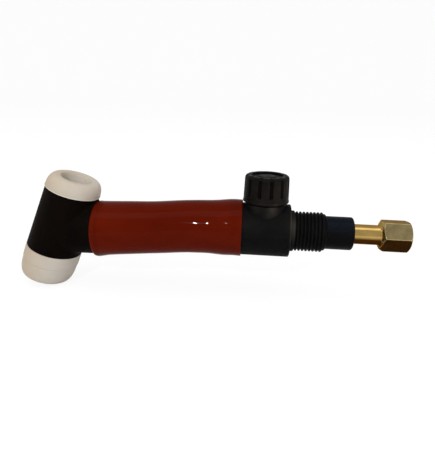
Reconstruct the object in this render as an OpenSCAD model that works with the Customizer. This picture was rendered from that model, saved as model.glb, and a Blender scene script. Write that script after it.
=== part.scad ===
// Gas-valve TIG torch body: T head, sleeved neck, valve housing and cable connector.
// Origin on the body axis, in the middle of the handle thread.
// +X runs along the body towards the cable, +Z up through the valve knob, head at -X.

/* [Head] */
// Step from the side of the neck stub out to the side of the head moulding
head_step = 0.25; // [0.1:0.05:1.5]
// Length of the head moulding between its two gaskets
head_len = 30.5; // [28:0.1:34]
// Reach of the head moulding below the neck axis
head_drop = 9.85; // [9:0.05:11]
// Angle between the head and the neck, in degrees
head_angle = 64.5; // [60:0.5:72]
// How far the back cap gasket stands out beyond the head moulding
upper_gasket_lip = 0.15; // [0.1:0.05:1.5]
// Height of the back cap gasket
upper_gasket_h = 6.4; // [6:0.1:8]
// Rounding of the back cap gasket's outer end
upper_gasket_round = 4.6; // [3:0.1:6.4]
// How far the nozzle gasket stands out beyond the head moulding
lower_gasket_lip = 0.55; // [0.05:0.05:1.5]
// Height of the nozzle gasket
lower_gasket_h = 15.5; // [13:0.1:18]
// Rounding of the nozzle gasket's outer end
lower_gasket_round = 5; // [3:0.1:6.4]
// Diameter of the opening through each gasket
gasket_bore_d = 13.7; // [13.2:0.1:15.4]

/* [Head core] */
// Outside diameter of the brass head core
core_d = 16; // [15.5:0.1:18]
// Reach of the core into the back cap gasket
core_up = 1; // [0.8:0.1:4]
// Reach of the core into the nozzle gasket
core_down = 3; // [2:0.1:5]
// Diameter of the back cap thread
cap_thread_d = 12; // [11:0.1:13]
// Depth of the back cap thread
cap_thread_len = 12; // [9:0.1:14]
// Diameter of the collet body thread
collet_thread_d = 9.2; // [8.6:0.1:10.4]
// Depth of the collet body thread
collet_thread_len = 10.5; // [8:0.1:11]
// Diameter of the collet bore between the two threads
collet_bore_d = 7.2; // [6:0.1:8]
// Diameter of the core's side port
port_d = 12; // [11:0.1:13]
// Reach of the side port from the head axis
port_len = 13; // [12:0.1:14]
// Diameter of the gas hole through the side port
port_bore_d = 4.4; // [3.6:0.1:5]

/* [Neck] */
// Distance along the neck from the head axis to the bend
neck_len = 71.8; // [60:0.1:90]
// Droop of the neck below the body axis, in degrees
neck_droop = 3.9; // [2:0.1:8]
// How far the ball that rounds the bend stands proud of the straight runs
bend_proud = 0.05; // [0.04:0.01:0.1]
// Straight length between the bend and the sleeve's flare
flare_start = 2; // [1.6:0.1:4]
// Distance from the housing's front face to the bend
bend_gap = 6.95; // [6:0.05:10]
// Outside diameter of the gas and current tube
neck_tube_d = 8; // [7:0.1:9]
// Wall of the gas and current tube
neck_tube_wall = 1.2; // [0.8:0.1:1.6]
// Depth of the sockets that the tube is brazed into
tube_socket = 5; // [4:0.1:5.5]
// Diameter of the head moulding's neck stub
stub_d = 24; // [22:0.1:24.4]
// Length of the neck stub from the head axis
stub_len = 26; // [24:0.1:32]
// Length of the stub's lead-in taper
stub_taper = 6; // [2:0.1:6.5]
// Diameter at the end of the stub's taper
stub_end_d = 23.3; // [22:0.1:23.8]
// Diameter of the neck insulation along its middle
insulation_d = 22.4; // [20:0.1:22.8]
// Length over which the insulation tapers from the stub
insulation_taper = 18; // [12:0.5:30]
// Length of the insulation's plug inside the housing
insulation_plug = 4.5; // [3:0.1:4.7]
// Wall of the red sleeve
sleeve_wall = 1; // [0.8:0.1:1.4]
// Gap between the sleeve's front edge and the head
sleeve_gap = 0.2; // [0.1:0.05:1]
// Length of the sleeve that covers the valve housing
sleeve_overlap = 8.3; // [6:0.1:10]

/* [Valve housing] */
// Diameter of the valve housing
housing_d = 24; // [23.4:0.1:24.4]
// Diameter of the boss under the knob, at its top
boss_d = 17.9; // [16.5:0.1:19]
// Diameter that the boss's cone would reach on the body axis
boss_foot_d = 22.2; // [19:0.1:22.8]
// Height of the boss above the housing's top
boss_rise = 0.8; // [0.5:0.1:2]
// Distance from the boss to the sleeve's rear edge
boss_to_sleeve = 1.25; // [0.8:0.05:3]
// Distance from the valve axis to the housing's rear shoulder
valve_to_shoulder = 11.4; // [11:0.1:13]
// Chamfer on the housing's ends
housing_edge = 0.4; // [0.2:0.1:0.8]
// Step from the boss's top down to the stem tower's
tower_drop = 0.5; // [0.3:0.1:1]
// Step from the boss's top down to the gland nut's
nut_drop = 0.3; // [0.1:0.1:0.8]

/* [Handle thread] */
// Crest diameter of the handle thread
thread_d = 18; // [17.4:0.1:19]
// Depth of the thread's grooves
thread_depth = 0.8; // [0.5:0.05:1]
// Pitch of the thread
thread_pitch = 1.58; // [1.4:0.02:1.8]
// Number of crests
thread_crests = 8; // [6:1:9]
// Width of each crest's flat
crest_w = 0.45; // [0.35:0.05:0.6]
// Diameter of the plain collar in front of the thread
collar_d = 18.6; // [18.2:0.1:20]
// Distance from the housing's shoulder to the first crest
collar_len = 2.85; // [2.4:0.05:4]
// Diameter of the nose behind the thread
nose_d = 16.6; // [16.4:0.1:17.2]
// Length of the nose
nose_len = 1.65; // [1.4:0.05:4]
// Chamfer at the end of the nose
nose_edge = 0.5; // [0.2:0.1:0.8]

/* [Valve block] */
// Diameter of the brass valve block
block_d = 13; // [12.6:0.1:14]
// Reach of the block in front of the valve axis
block_front = 13; // [12:0.1:13.5]
// Reach of the block behind the valve axis
block_rear = 10.5; // [10:0.1:11]
// Diameter of the block's upright stem tower
tower_d = 12; // [11:0.1:13]
// Radius of the seat's gas hole
seat_r = 1.1; // [0.9:0.05:1.3]
// Radius of the gas passages
passage_r = 0.9; // [0.7:0.05:1]
// Height of the outlet passage above the body axis
outlet_z = 1.35; // [1.2:0.05:1.5]
// Depth of the inlet passage below the body axis
inlet_z = 2.2; // [2:0.05:2.3]

/* [Valve stem] */
// Diameter of the stem's thread
stem_thread_d = 5; // [4.6:0.1:5.4]
// Pitch of the stem's thread
stem_pitch = 0.8; // [0.5:0.05:1]
// Turns of the knob from closed to fully open
stem_turns = 2; // [1:0.25:2.5]
// Diameter of the stem's sealing land
land_d = 6; // [5.8:0.1:6.8]
// Length of the stem's sealing land
land_len = 2.7; // [2.4:0.1:3]
// Diameter of the stem's upper shank
shank_d = 4.4; // [4:0.1:4.6]
// Diameter of the needle above its cone
needle_d = 3.8; // [3.4:0.1:4.2]
// Reach of the needle's tip below the body axis
needle_reach = 0.6; // [0.4:0.1:0.8]
// Height of the stem thread's lower end above the body axis
thread_foot = 2.4; // [2.2:0.1:3]
// Cross-section diameter of the O-ring
seal_cord_d = 0.88; // [0.8:0.02:0.92]
// Extra height of the O-ring's groove
groove_room = 0.32; // [0.2:0.02:0.4]
// Extra depth of the O-ring's groove
groove_slack = 0.07; // [0.05:0.01:0.1]
// Height of the gland nut
nut_h = 2.5; // [2:0.1:3]
// Diameter of the gland nut
nut_d = 9; // [8.4:0.1:10]
// Width of the gland nut's spanner slot
nut_slot_w = 1.2; // [0.8:0.1:2]
// Depth of the gland nut's spanner slot
nut_slot_depth = 0.8; // [0.5:0.1:1.5]
// Thickness of the packing washer
packing_t = 0.7; // [0.5:0.05:1]

/* [Knob] */
// Diameter of the knob at its skirt
knob_d = 20.2; // [19:0.1:21.6]
// Height of the knob
knob_h = 12; // [11:0.1:14]
// Gap between the closed knob and the boss
knob_gap = 0.6; // [0.4:0.05:1.2]
// Height of the chamfer at the knob's foot
knob_skirt_h = 0.8; // [0.5:0.1:2]
// Width of the chamfer at the knob's foot
knob_skirt_in = 0.4; // [0.2:0.1:1.2]
// Draft of the knob's side, in degrees
knob_draft = 1.8; // [0.5:0.1:3]
// Rounding of the knob's top rim
knob_round = 1.3; // [0.8:0.1:1.8]
// Number of finger flutes
flutes = 12; // [8:1:16]
// Depth of the finger flutes
flute_depth = 0.55; // [0.2:0.05:0.6]
// Radius of the finger flutes
flute_r = 0.9; // [0.7:0.05:1.6]
// Distance from the chamfer up to the foot of the flutes
flute_rise = 2.3; // [0.2:0.1:4]
// Direction of the first flute about the knob's axis, in degrees
flute_turn = -79.5; // [-180:0.1:180]
// Diameter of the recess in the knob's top
recess_d = 14; // [12:0.1:15]
// Depth of the recess in the knob's top
recess_depth = 0.9; // [0.5:0.1:1.4]
// Thickness of the knob's outer wall
knob_wall = 1.8; // [1.5:0.1:2.2]
// Depth of the hollow round the knob's hub
knob_hollow = 7.6; // [5:0.1:8]
// Diameter of the knob's hub
hub_d = 10.4; // [10:0.1:11.4]
// Diameter of the brass insert in the hub
insert_d = 7.2; // [6.4:0.1:7.8]
// Diameter of the knob's centre cap
cap_d = 7.8; // [7:0.1:8.6]
// Height of the centre cap above the recess floor
cap_rise = 0.4; // [0.2:0.1:0.6]
// Chamfer on the centre cap
cap_edge = 0.3; // [0.1:0.05:0.6]
// Depth of the pocket for the knob screw and cap
pocket_depth = 3.5; // [3.2:0.1:4.4]
// Thread diameter of the knob screw
screw_d = 3; // [2.5:0.1:3.2]
// Head diameter of the knob screw
screw_head_d = 5.6; // [5:0.1:6.2]
// Head height of the knob screw
screw_head_h = 1.6; // [1.2:0.1:1.8]
// Thread length of the knob screw
screw_len = 7; // [5:0.5:7.5]
// Width of the knob screw's slot
screw_slot_w = 0.8; // [0.6:0.1:1]
// Depth of the knob screw's slot
screw_slot_depth = 0.7; // [0.5:0.1:1]
// Depth left in the stem below the knob screw
screw_spare = 0.5; // [0.3:0.1:1]
// Step from the pocket's floor down to the stem's top
shank_drop = 0.4; // [0.1:0.1:0.5]
// Thickness of the washer under the knob screw
knob_washer_t = 0.5; // [0.3:0.1:0.8]

/* [Rear end] */
// Outside diameter of the rear tube
rear_tube_d = 9; // [8.4:0.1:9.6]
// Wall of the rear tube
rear_tube_wall = 1.3; // [1:0.1:1.6]
// Diameter of the black rear sleeve
rear_sleeve_d = 15; // [14.4:0.1:15.2]
// Diameter of the inner insulating tube
rear_bush_d = 11.7; // [11:0.1:12]
// Length of the rear sleeve behind the nose
rear_sleeve_show = 11.8; // [8:0.1:16]
// Depth of the rear sleeve's seat in the nose
rear_sleeve_seat = 2; // [1.5:0.1:3]
// Rounding of the rear sleeve's end
rear_sleeve_round = 0.8; // [0.4:0.1:1]
// Step from the rear sleeve's end back to the inner tube's
bush_recess = 0.6; // [0.3:0.1:1]
// Bare length of the rear tube in front of the connector
rear_tube_show = 12.8; // [8:0.1:18]

/* [Cable connector] */
// Width across the connector's flats
hex_af = 13; // [12.6:0.1:15]
// Length of the connector
hex_len = 12.9; // [11:0.1:16]
// Turn of the hexagon about the body axis, in degrees
hex_turn = 25.7; // [0:0.1:30]
// Crown radius of the connector's rear end
hex_crown = 2.6; // [1.5:0.1:3.2]
// Length of the chamfer at the connector's front end
hex_chamfer = 0.9; // [0.5:0.1:1.3]
// Slope of that chamfer: radius gained for each millimetre of length
hex_chamfer_slope = 1.7; // [0.4:0.05:2]
// How far the turned outline stands outside the hexagon's corners
hex_clear = 0.6; // [0.2:0.1:0.8]
// Depth of the connector's tube socket
hex_socket = 4; // [3:0.1:4.5]
// Diameter of the cable thread
cable_thread_d = 8.9; // [8:0.1:9.2]
// Depth of the cable thread
cable_thread_len = 7; // [5:0.1:7]

/* [Fits] */
// Radial clearance of turning and sliding parts
run_gap = 0.04; // [0.02:0.01:0.06]
// Radial clearance between parts that stay put
seat_gap = 0.05; // [0.02:0.01:0.08]
// Clearance between faces that would meet at the end of a movement or a seat
end_gap = 0.1; // [0.05:0.01:0.15]
// Radial clearance round the O-ring's groove floor
seal_gap = 0.03; // [0.02:0.01:0.05]
// How far the closed needle stands off its seat
seat_lift = 0.06; // [0.04:0.01:0.1]
// Size of the braze fillets
braze = 0.8; // [0.5:0.05:1]
// Share of the braze fillet's size left at the middle of its hollow face
braze_hollow = 0.35; // [0.3:0.05:0.45]

/* [Hidden] */
$fn = 96;
through = 1;               // how far a cutting tool runs past the face that it opens
bend_belt = 2;             // half the width of the ball belt that rounds the bend
groove_share = 0.36;       // share of a thread groove's width that each flank takes
black = "#1a1a1b";
red = "#6b1c10";
white = "#d8cfc0";
brass = "#b08d3c";
copper = "#b46a3c";
steel = "#8d9094";

// Diameters of the head moulding and its gaskets
head_d = stub_d + 2 * head_step;
upper_gasket_d = head_d + 2 * upper_gasket_lip;
lower_gasket_d = head_d + 2 * lower_gasket_lip;

// Stations along X, from the middle of the thread
thread_half = (thread_crests - 1) * thread_pitch / 2 + crest_w / 2;
shoulder_x = -thread_half - collar_len;
valve_x = shoulder_x - valve_to_shoulder;
sleeve_rear_x = valve_x - boss_d / 2 - boss_to_sleeve;
housing_front_x = sleeve_rear_x - sleeve_overlap;
bend_x = housing_front_x - bend_gap;
nose_x = thread_half + nose_len;
rear_sleeve_x = nose_x + rear_sleeve_show;
hex_x = rear_sleeve_x + rear_tube_show;
block_front_x = valve_x - block_front;
block_rear_x = valve_x + block_rear;
plug_x = housing_front_x + insulation_plug;
flare_x = bend_x + flare_start;

// Stations along the neck's own axis, from the bend
stub_x = stub_len - neck_len;
taper_x = stub_x + insulation_taper;

// The head in side view: tilt from the vertical, and where its axis meets the neck's
head_tilt = 90 - head_angle - neck_droop;
cross_x = bend_x - neck_len * cos(neck_droop);
cross_z = -neck_len * sin(neck_droop);
head_top = head_len - head_drop;
core_top = head_top + core_up;
core_foot = -head_drop - core_down;

// Sleeve: outer radius at its ends, and the upright plane that trims its front edge
sleeve_end_r = stub_d / 2 + seat_gap + sleeve_wall;
slope = tan(neck_droop);
lean = tan(head_tilt);
sleeve_front_x = (cross_x + head_d / 2 / cos(head_tilt) + sleeve_gap
                  + lean * (sleeve_end_r / cos(neck_droop) - bend_x * slope - cross_z))
                 / (1 - lean * slope);

// Valve levels, from the body axis up
boss_top = housing_d / 2 + boss_rise;
tower_top = boss_top - tower_drop;
nut_top = boss_top - nut_drop;
nut_foot = nut_top - nut_h;
packing_foot = nut_foot - packing_t;
stem_travel = stem_pitch * stem_turns;
land_top = packing_foot - stem_travel - end_gap;
land_foot = land_top - land_len;
cone_top = needle_d / 2 - seat_r + seat_lift;
cone_foot = -needle_reach;
groove_h = seal_cord_d + groove_room;
groove_z = land_foot + land_len / 2;
groove_r = land_d / 2 - seal_cord_d - groove_slack;
seal_r = groove_r + seal_cord_d / 2 + seal_gap;
bore_step = land_foot - seat_gap;

// Knob levels
knob_foot = boss_top + knob_gap;
knob_top = knob_foot + knob_h;
recess_z = knob_top - recess_depth;
pocket_z = recess_z - pocket_depth;
shank_top = pocket_z - shank_drop;
skirt_z = knob_foot + knob_skirt_h;
knob_top_r = knob_d / 2 - (knob_top - skirt_z) * tan(knob_draft);
flute_at = knob_d / 2 + flute_r - flute_depth;

// Puts +Z of the child along +X
module along_x() {
    rotate([0, 90, 0]) children();
}

// Neck frame: origin at the bend, +X back along the neck's own axis
module neck_frame() {
    translate([bend_x, 0, 0]) rotate([0, -neck_droop, 0]) children();
}

// Head frame: origin where the head axis meets the neck axis, +Z up along the head
module head_frame() {
    neck_frame() translate([-neck_len, 0, 0]) rotate([0, 90 - head_angle, 0]) children();
}

// A cylinder along X from x0 to x1
module rod_x(r, x0, x1) {
    translate([x0, 0, 0]) along_x() cylinder(r = r, h = x1 - x0);
}

// A cone along X from radius r0 at x0 to r1 at x1
module cone_x(r0, r1, x0, x1) {
    translate([x0, 0, 0]) along_x() cylinder(r1 = r0, r2 = r1, h = x1 - x0);
}

// The belt of a ball that rounds the bend of a bar with radius r
module bend_ball(r) {
    translate([bend_x, 0, 0]) intersection() {
        along_x() sphere(r = r + bend_proud);
        rod_x(r + through, -bend_belt, bend_belt);
    }
}

// A round bar along the whole neck: from s0 behind the head axis to x1 on the body axis
module neck_bar(r, s0, x1) {
    neck_frame() rod_x(r, s0 - neck_len, 0);
    bend_ball(r);
    rod_x(r, bend_x, x1);
}

// A body turned about the X axis, from [radius, x] points
module turned(points) {
    along_x() rotate_extrude() polygon(points);
}

// A ring in the X-Y plane with outer radius r, bore radius b, from z0 to z1
module ring_z(r, b, z0, z1) {
    difference() {
        translate([0, 0, z0]) cylinder(r = r, h = z1 - z0);
        translate([0, 0, z0 - through]) cylinder(r = b, h = z1 - z0 + 2 * through);
    }
}

// A ring along X with outer radius r, bore radius b, from x0 to x1
module ring_x(r, b, x0, x1) {
    difference() {
        rod_x(r, x0, x1);
        rod_x(b, x0 - through, x1 + through);
    }
}

// A gasket on the plane Z = 0, rounded at its far end, with a counterbore for the core
module gasket(d, h, round_r, seat_depth) {
    r = d / 2;
    difference() {
        rotate_extrude() intersection() {
            union() {
                square([r - round_r, h]);
                square([r, h - round_r]);
                translate([r - round_r, h - round_r]) circle(r = round_r);
            }
            square([r, h]);
        }
        translate([0, 0, -through]) cylinder(r = gasket_bore_d / 2, h = h + 2 * through);
        translate([0, 0, -through])
            cylinder(r = core_d / 2 + seat_gap, h = seat_depth + through);
    }
}

// Brass T: threaded at both ends, with a side port for the neck tube
module head_core() {
    color(brass) difference() {
        union() {
            head_frame() translate([0, 0, core_foot])
                cylinder(d = core_d, h = core_top - core_foot);
            neck_frame() rod_x(port_d / 2, -neck_len, port_len - neck_len);
        }
        head_frame() {
            translate([0, 0, core_foot - through])
                cylinder(d = collet_bore_d, h = core_top - core_foot + 2 * through);
            translate([0, 0, core_top - cap_thread_len])
                cylinder(d = cap_thread_d, h = cap_thread_len + through);
            translate([0, 0, core_foot - through])
                cylinder(d = collet_thread_d, h = collet_thread_len + through);
        }
        neck_frame() {
            rod_x(port_bore_d / 2, -neck_len, port_len - neck_len);
            rod_x(neck_tube_d / 2 + seat_gap, port_len - tube_socket - neck_len,
                  port_len + through - neck_len);
        }
    }
}

// Black T-shaped moulding over the core, with the stub that the sleeve slips on
module head_insulator() {
    color(black) difference() {
        union() {
            head_frame() translate([0, 0, -head_drop]) cylinder(d = head_d, h = head_len);
            neck_frame() turned([[0, -neck_len], [stub_d / 2, -neck_len],
                                 [stub_d / 2, stub_x - stub_taper], [stub_end_d / 2, stub_x],
                                 [0, stub_x]]);
        }
        head_frame() {
            translate([0, 0, -head_drop - through])
                cylinder(d = core_d + 2 * seat_gap, h = head_len + 2 * through);
        }
        head_frame() translate([-stub_d, -stub_d, -head_drop - stub_d])
            cube([2 * stub_d, 2 * stub_d, stub_d]);
        neck_frame() {
            rod_x(port_d / 2 + seat_gap, -neck_len, port_len + braze + end_gap - neck_len);
            rod_x(neck_tube_d / 2 + seat_gap, -neck_len, stub_x + through);
        }
    }
}

// White ring that the back cap seats in
module upper_gasket() {
    color(white) head_frame() translate([0, 0, head_top])
        gasket(upper_gasket_d, upper_gasket_h, upper_gasket_round, core_up);
}

// White ring that the nozzle seats on
module lower_gasket() {
    color(white) head_frame() translate([0, 0, -head_drop]) mirror([0, 0, 1])
        gasket(lower_gasket_d, lower_gasket_h, lower_gasket_round, core_down);
}

// Copper tube that carries gas and current to the head
module neck_tube() {
    head_end = port_len - tube_socket;
    block_end = block_front_x + tube_socket;
    color(copper) difference() {
        neck_bar(neck_tube_d / 2, head_end, block_end);
        neck_bar(neck_tube_d / 2 - neck_tube_wall, head_end - through, block_end + through);
    }
}

// Black insulating tube under the sleeve, with a plug that enters the housing
module neck_insulation() {
    r = insulation_d / 2;
    bore = neck_tube_d / 2 + seat_gap;
    color(black) difference() {
        union() {
            neck_frame() turned([[0, stub_x], [stub_end_d / 2, stub_x], [r, taper_x],
                                 [r, 0], [0, 0]]);
            bend_ball(r);
            turned([[0, bend_x], [r, bend_x], [r, housing_front_x],
                    [block_d / 2, housing_front_x], [block_d / 2, plug_x], [0, plug_x]]);
        }
        neck_bar(bore, stub_len - through, plug_x + through);
    }
}

// The space inside the sleeve, grown outwards by g and running past its rear edge
module sleeve_core(g, past) {
    grow = seat_gap + g;
    r = insulation_d / 2 + grow;
    stub_r = stub_d / 2 + grow;
    housing_r = housing_d / 2 + grow;
    neck_frame() turned([[0, -neck_len], [stub_r, -neck_len], [stub_r, stub_x - stub_taper],
                         [stub_end_d / 2 + grow, stub_x], [r, taper_x], [r, 0], [0, 0]]);
    bend_ball(r);
    turned([[0, bend_x], [r, bend_x], [r, flare_x], [housing_r, housing_front_x],
            [housing_r, sleeve_rear_x + past], [0, sleeve_rear_x + past]]);
}

// Red silicone sleeve from the head to the valve housing
module neck_sleeve() {
    trim = head_d;
    color(red) difference() {
        sleeve_core(sleeve_wall, 0);
        sleeve_core(0, through);
        translate([sleeve_front_x - 2 * trim, -trim, cross_z - trim]) cube(2 * trim);
    }
}

// Black housing moulded round the valve block, with the handle's thread behind it
module valve_housing() {
    r = housing_d / 2;
    edge_r = r - housing_edge;
    crest_r = thread_d / 2;
    root_r = crest_r - thread_depth;
    groove_w = thread_pitch - crest_w;
    wall = groove_w * groove_share;
    grooves = [for (i = [-1 : thread_crests - 2]) -thread_half + crest_w + i * thread_pitch];
    thread = [for (x = grooves, q = [[crest_r, 0], [root_r, wall], [root_r, groove_w - wall],
                                     [crest_r, groove_w]]) [q[0], x + q[1]]];
    color(black) difference() {
        union() {
            turned(concat(
                [[0, housing_front_x], [edge_r, housing_front_x],
                 [r, housing_front_x + housing_edge], [r, shoulder_x - housing_edge],
                 [edge_r, shoulder_x], [collar_d / 2, shoulder_x], [collar_d / 2, grooves[0]]],
                thread,
                [[crest_r, thread_half], [nose_d / 2, thread_half],
                 [nose_d / 2, nose_x - nose_edge], [nose_d / 2 - nose_edge, nose_x],
                 [0, nose_x]]));
            translate([valve_x, 0, 0]) cylinder(d1 = boss_foot_d, d2 = boss_d, h = boss_top);
        }
        rod_x(block_d / 2 + seat_gap, housing_front_x - through, block_rear_x);
        rod_x(rear_bush_d / 2 + seat_gap, block_rear_x - through, nose_x + through);
        rod_x(rear_sleeve_d / 2 + seat_gap, nose_x - rear_sleeve_seat, nose_x + through);
        translate([valve_x, 0, 0])
            cylinder(r = tower_d / 2 + seat_gap, h = boss_top + through);
    }
}

// Brass block with the seat, the stem's bores and the two tube sockets
module valve_block() {
    neck_socket_x = block_front_x + tube_socket;
    rear_socket_x = block_rear_x - tube_socket;
    color(brass) difference() {
        union() {
            rod_x(block_d / 2, block_front_x, block_rear_x);
            translate([valve_x, 0, 0]) cylinder(d = tower_d, h = tower_top);
        }
        rod_x(neck_tube_d / 2 + seat_gap, block_front_x - through, neck_socket_x);
        rod_x(rear_tube_d / 2 + seat_gap, rear_socket_x, block_rear_x + through);
        translate([0, 0, outlet_z]) rod_x(passage_r, neck_socket_x - through, valve_x);
        translate([0, 0, -inlet_z]) rod_x(passage_r, valve_x, rear_socket_x + through);
        translate([valve_x, 0, 0]) {
            translate([0, 0, -inlet_z]) cylinder(r = seat_r, h = inlet_z + through);
            cylinder(r = stem_thread_d / 2 + run_gap, h = bore_step + through);
            translate([0, 0, bore_step])
                cylinder(r = land_d / 2 + run_gap, h = tower_top);
            translate([0, 0, packing_foot])
                cylinder(r = nut_d / 2 + seat_gap, h = tower_top);
        }
    }
}

// Ring nut that holds the stem in, with two spanner slots
module gland_nut() {
    color(brass) translate([valve_x, 0, 0]) difference() {
        ring_z(nut_d / 2, shank_d / 2 + run_gap, nut_foot, nut_top);
        translate([-nut_d, -nut_slot_w / 2, nut_top - nut_slot_depth])
            cube([2 * nut_d, nut_slot_w, nut_slot_depth + through]);
    }
}

// White packing washer under the gland nut
module packing_washer() {
    color(white) translate([valve_x, 0, 0])
        ring_z(nut_d / 2, shank_d / 2 + run_gap, packing_foot, nut_foot);
}

// O-ring in the groove of the stem's land
module stem_seal() {
    color(black) translate([valve_x, 0, groove_z])
        rotate_extrude() translate([seal_r, 0]) circle(d = seal_cord_d, $fn = 48);
}

// Brass stem: needle, thread, grooved sealing land and shank, tapped for the knob's screw
module valve_stem() {
    tip_r = cone_foot + seat_r - seat_lift;
    thread_r = stem_thread_d / 2;
    land_r = land_d / 2;
    groove_foot = groove_z - groove_h / 2;
    groove_top = groove_z + groove_h / 2;
    hole_foot = pocket_z + knob_washer_t - screw_len - screw_spare;
    color(brass) translate([valve_x, 0, 0]) difference() {
        rotate_extrude() polygon([
            [0, cone_foot], [tip_r, cone_foot], [needle_d / 2, cone_top],
            [needle_d / 2, thread_foot], [thread_r, thread_foot], [thread_r, land_foot],
            [land_r, land_foot], [land_r, groove_foot], [groove_r, groove_foot],
            [groove_r, groove_top], [land_r, groove_top], [land_r, land_top],
            [shank_d / 2, land_top], [shank_d / 2, shank_top], [0, shank_top]]);
        translate([0, 0, hole_foot]) cylinder(d = screw_d, h = shank_top - hole_foot + through);
    }
}

// Fluted black knob with a hub, a hollow underside and a recessed top
module valve_knob() {
    skirt_r = knob_d / 2;
    foot_r = skirt_r - knob_skirt_in;
    rim_r = knob_top_r - knob_round;
    round_z = knob_top - knob_round;
    floor_z = knob_foot + knob_hollow;
    color(black) translate([valve_x, 0, 0]) difference() {
        rotate_extrude() intersection() {
            union() {
                polygon([[0, knob_foot], [foot_r, knob_foot], [skirt_r, skirt_z],
                         [knob_top_r, round_z], [0, round_z]]);
                translate([0, knob_foot]) square([rim_r, knob_h]);
                translate([rim_r, round_z]) circle(r = knob_round);
            }
            translate([0, knob_foot]) square([knob_d, knob_h]);
        }
        for (i = [0 : flutes - 1]) {
            rotate([0, 0, flute_turn + i * 360 / flutes])
                translate([flute_at, 0, skirt_z + flute_rise]) cylinder(r = flute_r, h = knob_h);
        }
        translate([0, 0, recess_z]) cylinder(d = recess_d, h = recess_depth + through);
        translate([0, 0, pocket_z])
            cylinder(r = cap_d / 2 + seat_gap, h = pocket_depth + through);
        translate([0, 0, knob_foot - through])
            cylinder(r = insert_d / 2 + seat_gap, h = pocket_z - knob_foot + 2 * through);
        difference() {
            translate([0, 0, knob_foot - through])
                cylinder(r = skirt_r - knob_wall, h = floor_z - knob_foot + through);
            translate([0, 0, knob_foot - 2 * through]) cylinder(d = hub_d, h = knob_h);
        }
    }
}

// Brass insert that fixes the knob to the stem's shank
module knob_insert() {
    color(brass) translate([valve_x, 0, 0])
        ring_z(insert_d / 2, shank_d / 2 + run_gap, knob_foot, pocket_z);
}

// Washer under the knob screw's head
module knob_washer() {
    color(steel) translate([valve_x, 0, 0])
        ring_z(cap_d / 2 - cap_edge, screw_d / 2 + seat_gap, pocket_z,
               pocket_z + knob_washer_t);
}

// Screw that holds the knob on the stem
module knob_screw() {
    under_head = pocket_z + knob_washer_t;
    color(steel) translate([valve_x, 0, 0]) difference() {
        union() {
            translate([0, 0, under_head - screw_len])
                cylinder(r = screw_d / 2 - seat_gap, h = screw_len);
            translate([0, 0, under_head]) cylinder(d = screw_head_d, h = screw_head_h);
        }
        translate([-screw_head_d, -screw_slot_w / 2,
                   under_head + screw_head_h - screw_slot_depth])
            cube([2 * screw_head_d, screw_slot_w, screw_slot_depth + through]);
    }
}

// Plug in the middle of the knob's top that covers the screw
module knob_cap() {
    foot = pocket_z + knob_washer_t + screw_head_h + end_gap;
    r = cap_d / 2;
    top = recess_z + cap_rise;
    color(black) translate([valve_x, 0, 0])
        rotate_extrude() polygon([[0, foot], [r, foot], [r, top - cap_edge],
                                  [r - cap_edge, top], [0, top]]);
}

// Brass tube from the valve block to the connector
module rear_tube() {
    color(brass)
        ring_x(rear_tube_d / 2, rear_tube_d / 2 - rear_tube_wall,
               block_rear_x - tube_socket, hex_x + hex_socket);
}

// Inner insulating tube round the rear tube
module rear_bush() {
    color(black) difference() {
        ring_x(rear_bush_d / 2, rear_tube_d / 2 + seat_gap, block_rear_x,
               rear_sleeve_x - bush_recess);
        cone_x(rear_tube_d / 2 + braze + seat_gap, rear_tube_d / 2 + seat_gap,
               block_rear_x, block_rear_x + braze);
    }
}

// Black rear sleeve, seated in the nose, with a rounded end
module rear_sleeve() {
    r = rear_sleeve_d / 2;
    front_x = nose_x - rear_sleeve_seat;
    len = rear_sleeve_x - front_x;
    color(black) difference() {
        translate([front_x, 0, 0]) along_x() rotate_extrude() intersection() {
            union() {
                square([r - rear_sleeve_round, len]);
                square([r, len - rear_sleeve_round]);
                translate([r - rear_sleeve_round, len - rear_sleeve_round])
                    circle(r = rear_sleeve_round);
            }
            square([r, len]);
        }
        rod_x(rear_bush_d / 2 + seat_gap, front_x - through, rear_sleeve_x + through);
    }
}

// Hexagonal connector: tube socket in front, cable thread behind, crowned rear end
module cable_connector() {
    corner_r = hex_af / sqrt(3);
    outline_r = corner_r + hex_clear;
    chamfer_r = corner_r - hex_chamfer * hex_chamfer_slope;
    crown_x = hex_len - hex_crown;
    crown_r = outline_r - hex_crown;
    bore_r = rear_tube_d / 2 - rear_tube_wall;
    color(brass) difference() {
        translate([hex_x, 0, 0]) rotate([hex_turn, 0, 0]) along_x() intersection() {
            cylinder(r = corner_r, h = hex_len, $fn = 6);
            rotate_extrude() intersection() {
                union() {
                    polygon([[0, 0], [chamfer_r, 0],
                             [outline_r, (outline_r - chamfer_r) / hex_chamfer_slope],
                             [outline_r, crown_x], [0, crown_x]]);
                    square([crown_r, hex_len]);
                    translate([crown_r, crown_x]) circle(r = hex_crown);
                }
                square([outline_r, hex_len]);
            }
        }
        rod_x(rear_tube_d / 2 + seat_gap, hex_x - through, hex_x + hex_socket);
        rod_x(bore_r, hex_x, hex_x + hex_len);
        rod_x(cable_thread_d / 2, hex_x + hex_len - cable_thread_len, hex_x + hex_len + through);
    }
}

// A ring of braze round a tube of radius r: against a face at x, thinning to the side
module braze_ring(r, x, side) {
    translate([x, 0, 0]) along_x() mirror([0, 0, side < 0 ? 1 : 0]) rotate_extrude()
        polygon([[r, 0], [r + braze, 0],
                 [r + braze * braze_hollow, braze * braze_hollow], [r, braze]]);
}

// Braze at the four tube joints
module braze_fillets() {
    color(brass) {
        neck_frame() braze_ring(neck_tube_d / 2, port_len - neck_len, 1);
        braze_ring(neck_tube_d / 2, block_front_x, -1);
        braze_ring(rear_tube_d / 2, block_rear_x, 1);
        braze_ring(rear_tube_d / 2, hex_x, -1);
    }
}

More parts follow.
